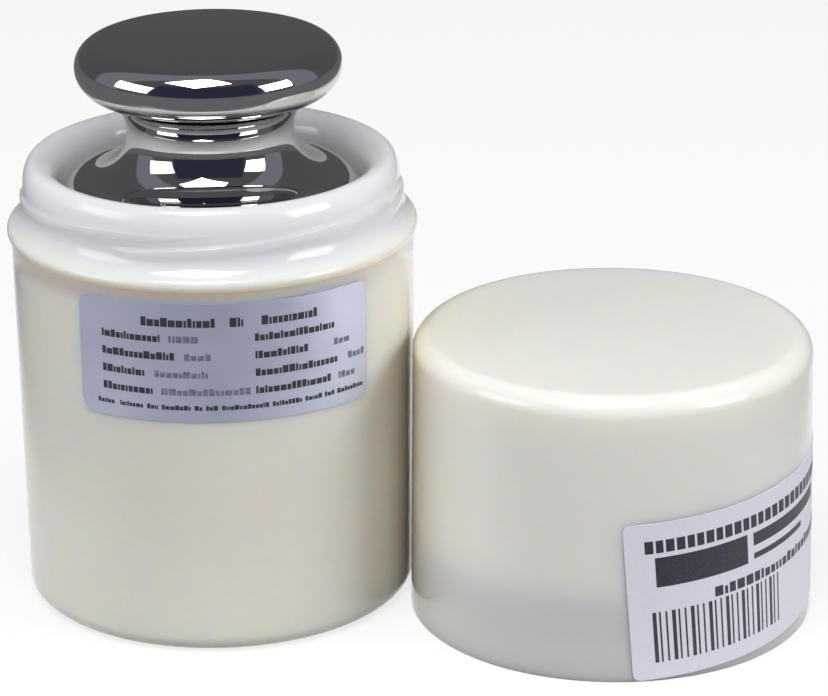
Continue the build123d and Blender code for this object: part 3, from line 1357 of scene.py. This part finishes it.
def certificate_marks() -> list[Mark]:
    """Plain blocks on the jar's label: a heading, four rows in two columns and a fine line.

    Returns:
        The blocks, line by line.
    """
    chance = random.Random(11)
    heading, row, fine = 1.5, 1.25, 0.8
    first_foot, row_drop, fine_foot = 3.4, 2.93, -7.85
    heading_ends = ((-13.6, -1.9), (0.4, 2.5), (5.4, 14.7))
    lines = [Line(left, right, 6.0, heading, 0.95) for left, right in heading_ends]
    # Each row has a bold block and a typed one in both columns; a pair says where the two end.
    left_ends = ((-10.6, -4.2), (-8.2, -2.7), (-13.0, -3.2), (-12.0, 3.5))
    right_ends = ((17.9, 0.0), (13.2, 21.2), (18.4, 24.0), (17.4, 22.0))
    for number, (left, right) in enumerate(zip(left_ends, right_ends)):
        foot = first_foot - number * row_drop
        typed = {"foot": foot, "height": row * 0.9, "pitch": 1.0, "tone": Tone.TYPED}
        lines.append(Line(-20.5, left[0], foot, row, 0.88))
        lines.append(Line(left[0] + 1.4, left[1], **typed))
        lines.append(Line(4.3, right[0], foot, row, 0.88))
        if right[1]:
            lines.append(Line(right[1] - 3.4, right[1], **typed))
    fine_words = (
        (-21.6, 3.2), (-17.6, 3.9), (-13.0, 1.8), (-10.6, 4.6), (-5.4, 1.2), (-3.6, 1.9),
        (-1.1, 7.4), (6.9, 4.9), (12.4, 3.0), (15.9, 1.8), (18.3, 5.4),
    )
    lines += [Line(left, left + width, fine_foot, fine, 0.6) for left, width in fine_words]
    return [mark for line in lines for mark in line.marks(chance)]


def stock_marks() -> list[Mark]:
    """Plain blocks on the lid's label: two lines, a solid block, two rules and a ruled field.

    Returns:
        The blocks.
    """
    chance = random.Random(23)
    marks = Line(-26.8, 24.0, 8.2, 2.1, 1.72, low_share=1.0, widths=(0.7, 0.8), gap=0.24).marks(chance)
    marks.append(Mark(-25.3, 2.4, 16.4, 5.0))
    marks.append(Mark(-7.6, 5.0, 21.0, 2.2))
    marks.append(Mark(-7.6, 2.7, 14.0, 1.0))
    marks += Line(-15.6, 22.0, -1.3, 1.7, 1.35, low_share=0.8, gap=0.26).marks(chance)
    pitch, count, widths = 1.05, 24, (0.62, 0.3, 0.3)
    for stripe in range(count):
        marks.append(Mark(-26.3 + stripe * pitch, -10.4, widths[stripe % len(widths)], 8.6))
    return marks


@dataclass(frozen=True)
class Sliver:
    """A curl of plastic left on the rim by trimming: its bearing and its path inward and up."""

    bearing: float
    path: tuple[tuple[float, float, float], ...]
    width: float


@dataclass
class RimSlivers:
    """The trimming slivers on the inside of the jar's rim."""

    axis: Pair
    rim_radius: float
    rim_height: float
    slivers: tuple[Sliver, ...] = (
        Sliver(-27.6, ((0.0, 0.0, -0.25), (0.1, 0.45, 0.1), (-0.1, 0.85, 0.42)), 0.17),
        Sliver(
            -13.0, ((0.0, 0.0, -0.25), (-0.45, 0.5, 0.2), (-0.7, 1.0, 0.45), (0.1, 1.0, 0.6)), 0.2
        ),
        Sliver(-12.0, ((0.2, 0.0, -0.25), (-0.1, 0.35, 0.05), (-0.5, 0.6, 0.25)), 0.22),
    )
    steps: int = 14
    sides: int = 8
    flatness: float = 0.35
    taper: float = 0.85
    ripple: float = 0.2
    ripple_turns: float = 9.0

    def build(self) -> bpy.types.Object:
        """Builds and dresses the slivers.

        Returns:
            Their object.
        """
        vertices: list[Vector] = []
        faces: list[Face] = []
        for sliver in self.slivers:
            self.add_sliver(sliver, vertices, faces)
        piece = mesh_object("rim_slivers", np.array(vertices) * MM, faces)
        place_piece(piece, [JAR_PLASTIC])
        return piece

    def add_sliver(self, sliver: Sliver, vertices: list[Vector], faces: list[Face]) -> None:
        """Adds one tapered, flattened curl.

        Args:
            sliver: the curl.
            vertices: points so far, in mm.
            faces: faces so far.
        """
        turn = math.radians(sliver.bearing)
        outward = Vector((math.sin(turn), -math.cos(turn), 0))
        right = Vector((math.cos(turn), math.sin(turn), 0))
        root = Vector((*self.axis, self.rim_height)) + outward * self.rim_radius
        knots = [
            root + right * side - outward * inward + Vector((0, 0, up)) for side, inward, up in sliver.path
        ]
        first = len(vertices)
        for step in range(self.steps):
            share = step / (self.steps - 1)
            middle, along = self.on_path(knots, share)
            flat_way = along.cross(outward).normalized()
            thin_way = along.cross(flat_way).normalized()
            ripple = 1 - self.ripple + self.ripple * math.cos(self.ripple_turns * share)
            size = sliver.width * (1 - self.taper * share) * ripple
            for side in range(self.sides):
                angle = math.tau * side / self.sides
                flat = flat_way * size * math.cos(angle)
                vertices.append(middle + flat + thin_way * size * self.flatness * math.sin(angle))
        for step in range(self.steps - 1):
            for side in range(self.sides):
                low = first + step * self.sides
                beside = (side + 1) % self.sides
                faces.append((low + side, low + beside, low + self.sides + beside, low + self.sides + side))
        faces.append(tuple(first + side for side in reversed(range(self.sides))))
        faces.append(tuple(first + (self.steps - 1) * self.sides + side for side in range(self.sides)))

    @staticmethod
    def on_path(knots: list[Vector], share: float) -> tuple[Vector, Vector]:
        """Place and direction on the smooth path whose handles are the knots.

        Args:
            knots: the path's points.
            share: 0 at its root and 1 at its tip.

        Returns:
            The point and the unit direction.
        """
        level = list(knots)
        while len(level) > 2:
            level = [a.lerp(b, share) for a, b in zip(level, level[1:])]
        return level[0].lerp(level[1], share), (level[1] - level[0]).normalized()


# --------------------------------------------------------------------- the studio
@dataclass(frozen=True)
class Softbox:
    """A flat soft lamp, placed by where it is seen from the subject.

    Its azimuth is 0 straight towards the viewer's side and grows to the right, in degrees.
    """

    name: str
    azimuth: float
    elevation: float
    spread_across: float
    spread_up: float
    radiance: float
    turn: float = 0.0
    distance: float = 1.1

    def build(self, subject: Vector) -> None:
        """Makes the lamp.

        Args:
            subject: the point that it faces, in metres.
        """
        side, rise = math.radians(self.azimuth), math.radians(self.elevation)
        away = Vector((math.sin(side) * math.cos(rise), -math.cos(side) * math.cos(rise), math.sin(rise)))
        lamp = bpy.data.lights.new(self.name, "AREA")
        lamp.shape = "RECTANGLE"
        lamp.size = 2 * self.distance * math.tan(math.radians(self.spread_across) / 2)
        lamp.size_y = 2 * self.distance * math.tan(math.radians(self.spread_up) / 2)
        lamp.energy = self.radiance * math.pi * lamp.size * lamp.size_y
        holder = bpy.data.objects.new(self.name, lamp)
        facing = away.to_track_quat("Z", "Y")
        spin = Matrix.Rotation(math.radians(self.turn), 4, "Z")
        stand = Matrix.Translation(subject + away * self.distance)
        holder.matrix_world = stand @ facing.to_matrix().to_4x4() @ spin
        holder.visible_camera = False
        bpy.context.scene.collection.objects.link(holder)


@dataclass
class Studio:
    """Camera, lamps, dim room and pale floor.

    The sheet says where the floor is pale for the metal: along each axis, where it fades in from
    and to and where it fades out from and to, in mm.
    """

    camera_place: tuple[float, float, float] = (32.51, -572.29, 254.65)
    camera_pitch: float = 20.554
    camera_roll: float = 0.483
    camera_lens: float = 161.42
    subject: tuple[float, float, float] = (0.0, 0.0, 80.0)
    lamps: tuple[Softbox, ...] = (
        Softbox("softbox_left", -66.5, 19.5, 33.0, 25.0, 4.2),
        Softbox("softbox_right", 64.0, 19.5, 27.0, 25.0, 7.3),
        Softbox("softbox_above", -11.0, 64.0, 31.0, 31.0, 7.5, turn=45.0),
    )
    room_grey: str = "#5D5D61"
    front_dark: str = "#34364A"
    arch_grey: str = "#868691"
    front_half_angle: Pair = (0.91, 0.77)
    front_height: Pair = (0.77, 0.67)
    arch_front: Pair = (-0.22, -0.14)
    arch_back: Pair = (0.34, 0.26)
    floor_pale: str = "#FEFEFE"
    floor_lit: str = "#9A9A9C"
    floor_off_sheet: str = "#77777B"
    floor_glow: float = 0.78
    floor_reach: float = 6000.0
    sheet: dict[str, tuple[float, float, float, float]] = field(
        default_factory=lambda: {"X": (-110.0, -52.0, 132.0, 190.0), "Y": (-80.0, -50.0, 366.0, 420.0)}
    )

    def build(self) -> None:
        """Builds the whole studio."""
        self.build_camera()
        self.build_room()
        self.build_floor()
        for lamp in self.lamps:
            lamp.build(Vector(self.subject) * MM)
        LOG.info("studio: camera, %d lamps, room and floor", len(self.lamps))

    def build_camera(self) -> None:
        """Makes the camera, pitched down and rolled a little, and makes it the scene's own."""
        pitch, roll = math.radians(self.camera_pitch), math.radians(self.camera_roll)
        ahead = Vector((0, math.cos(pitch), -math.sin(pitch)))
        down = Vector((0, -math.sin(pitch), -math.cos(pitch)))
        right = Vector((1, 0, 0))
        across = right * math.cos(roll) + down * math.sin(roll)
        below = down * math.cos(roll) - right * math.sin(roll)
        data = bpy.data.cameras.new("camera")
        data.sensor_width = 36.0
        data.sensor_fit = "HORIZONTAL"
        data.lens = self.camera_lens
        data.clip_start = 0.01
        camera = bpy.data.objects.new("camera", data)
        turn = Matrix((across, -below, -ahead)).transposed().to_4x4()
        camera.matrix_world = Matrix.Translation(Vector(self.camera_place) * MM) @ turn
        bpy.context.scene.collection.objects.link(camera)
        bpy.context.scene.camera = camera

    def build_room(self) -> None:
        """Makes the dim room: near black low in front, and a paler arch overhead from side to side."""
        world = bpy.data.worlds.new("dim_room")
        bpy.context.scene.world = world
        world.use_nodes = True
        tree = world.node_tree
        tree.nodes.clear()
        way = add_node(tree, "ShaderNodeTexCoord").outputs["Generated"]
        parts = add_node(tree, "ShaderNodeSeparateXYZ", {0: way})
        toward = add_node(tree, "ShaderNodeMath", {0: parts.outputs["Y"], 1: -1.0}, operation="MULTIPLY")
        azimuth = add_node(
            tree, "ShaderNodeMath", {0: parts.outputs["X"], 1: toward.outputs[0]}, operation="ARCTAN2"
        )
        off_front = add_node(tree, "ShaderNodeMath", {0: azimuth.outputs[0]}, operation="ABSOLUTE")
        low_front = self.inside(
            tree,
            ((off_front.outputs[0], *self.front_half_angle), (parts.outputs["Z"], *self.front_height)),
        )
        arch = self.inside(
            tree, ((parts.outputs["Y"], *self.arch_front), (parts.outputs["Y"], *self.arch_back))
        )
        behind = add_node(
            tree,
            "ShaderNodeMix",
            {0: low_front, 6: linear(self.room_grey), 7: linear(self.front_dark)},
            data_type="RGBA",
        )
        room = add_node(
            tree,
            "ShaderNodeMix",
            {0: arch, 6: behind.outputs[2], 7: linear(self.arch_grey)},
            data_type="RGBA",
        )
        glow = add_node(tree, "ShaderNodeBackground", {"Color": room.outputs[2]})
        add_node(tree, "ShaderNodeOutputWorld", {"Surface": glow.outputs[0]})

    def inside(
        self, tree: Tree, limits: tuple[tuple[Socket, float, float], ...]
    ) -> Socket:
        """Marks what lies inside all of some soft-edged limits.

        Args:
            tree: the node tree the mask goes into.
            limits: for each limit, a value, where its edge begins (0) and where it ends (1).

        Returns:
            The mask, 1 inside every limit.
        """
        mask = None
        for value, start, end in limits:
            soft = add_node(
                tree,
                "ShaderNodeMapRange",
                {"Value": value, "From Min": start, "From Max": end},
                interpolation_type="SMOOTHSTEP",
            ).outputs["Result"]
            if mask is None:
                mask = soft
                continue
            mask = add_node(tree, "ShaderNodeMath", {0: mask, 1: soft}, operation="MULTIPLY").outputs[0]
        return mask

    def build_floor(self) -> None:
        """Makes the paper floor.

        It is pale wherever the camera sees it. Metal sees it pale on the sheet and grey beyond, and
        the light that it passes to the object is that of mid grey paper.
        """
        reach = self.floor_reach * MM
        corners = np.array([(-1, -1, 0), (1, -1, 0), (1, 1, 0), (-1, 1, 0)]) * reach
        floor = mesh_object("floor", corners, [(0, 1, 2, 3)])
        paper = bpy.data.materials.new("paper_floor")
        paper.use_nodes = True
        tree = paper.node_tree
        tree.nodes.clear()
        place = add_node(tree, "ShaderNodeTexCoord").outputs["Object"]
        level = add_node(tree, "ShaderNodeSeparateXYZ", {0: place})
        limits = []
        for axis, (low_end, low, high, high_end) in self.sheet.items():
            limits.append((level.outputs[axis], low_end * MM, low * MM))
            limits.append((level.outputs[axis], high_end * MM, high * MM))
        near = self.inside(tree, tuple(limits))
        path = add_node(tree, "ShaderNodeLightPath")
        seen = add_node(
            tree,
            "ShaderNodeMath",
            {0: path.outputs["Is Camera Ray"], 1: path.outputs["Is Glossy Ray"]},
            operation="MAXIMUM",
        )
        seen_at_all = add_node(
            tree,
            "ShaderNodeMath",
            {0: seen.outputs[0], 1: path.outputs["Is Transmission Ray"]},
            operation="MAXIMUM",
        )
        on_sheet = add_node(
            tree, "ShaderNodeMath", {0: near, 1: path.outputs["Is Camera Ray"]}, operation="MAXIMUM"
        )
        pale = add_node(
            tree,
            "ShaderNodeMix",
            {0: seen_at_all.outputs[0], 6: linear(self.floor_lit), 7: linear(self.floor_pale)},
            data_type="RGBA",
        )
        colour = add_node(
            tree,
            "ShaderNodeMix",
            {0: on_sheet.outputs[0], 6: linear(self.floor_off_sheet), 7: pale.outputs[2]},
            data_type="RGBA",
        )
        matt = add_node(tree, "ShaderNodeBsdfDiffuse", {"Color": colour.outputs[2]})
        share = add_node(
            tree, "ShaderNodeMath", {0: seen_at_all.outputs[0], 1: self.floor_glow}, operation="MULTIPLY"
        )
        white = add_node(tree, "ShaderNodeEmission", {"Color": colour.outputs[2], "Strength": 1.0})
        both = add_node(
            tree, "ShaderNodeMixShader", {0: share.outputs[0], 1: matt.outputs[0], 2: white.outputs[0]}
        )
        add_node(tree, "ShaderNodeOutputMaterial", {"Surface": both.outputs[0]})
        floor.data.materials.append(paper)


def main() -> None:
    """Builds the studio and every piece."""
    logging.basicConfig(level=logging.INFO, format="%(name)s: %(message)s")
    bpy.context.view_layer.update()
    bpy.context.scene.view_settings.view_transform = "Standard"
    Studio().build()
    KnobWeight().build()
    jar = ScrewJar()
    jar.build()
    lid = ScrewLid()
    lid.build()
    FoamPad("seat_pad", "seat_foam").build()
    FoamPad("lid_pad", "lid_foam", seed=6).build()
    certificate = WrappedLabel(
        name="certificate_film",
        node="certificate_label",
        axis=(jar.place.x, jar.place.y),
        wall=jar.wall_radius,
        bearing=6.3,
        level=49.95,
        width=49.5,
        height=19.7,
        finish=FILM,
        slot=Slot.FILM,
        lift_at=(10.1, 9.6),
    )
    certificate.build(certificate_marks())
    stock = WrappedLabel(
        name="stock_paper",
        node="lid_label",
        axis=(lid.place.x, lid.place.y),
        wall=lid.wall_radius,
        bearing=54.2,
        level=15.4,
        width=60.0,
        height=26.4,
        finish=PAPER,
        slot=Slot.PAPER,
        tilt=3.8,
        corner=1.2,
    )
    stock.build(stock_marks())
    RimSlivers((jar.place.x, jar.place.y), rim_radius=27.5, rim_height=73.75).build()


if __name__ == "__main__":
    main()
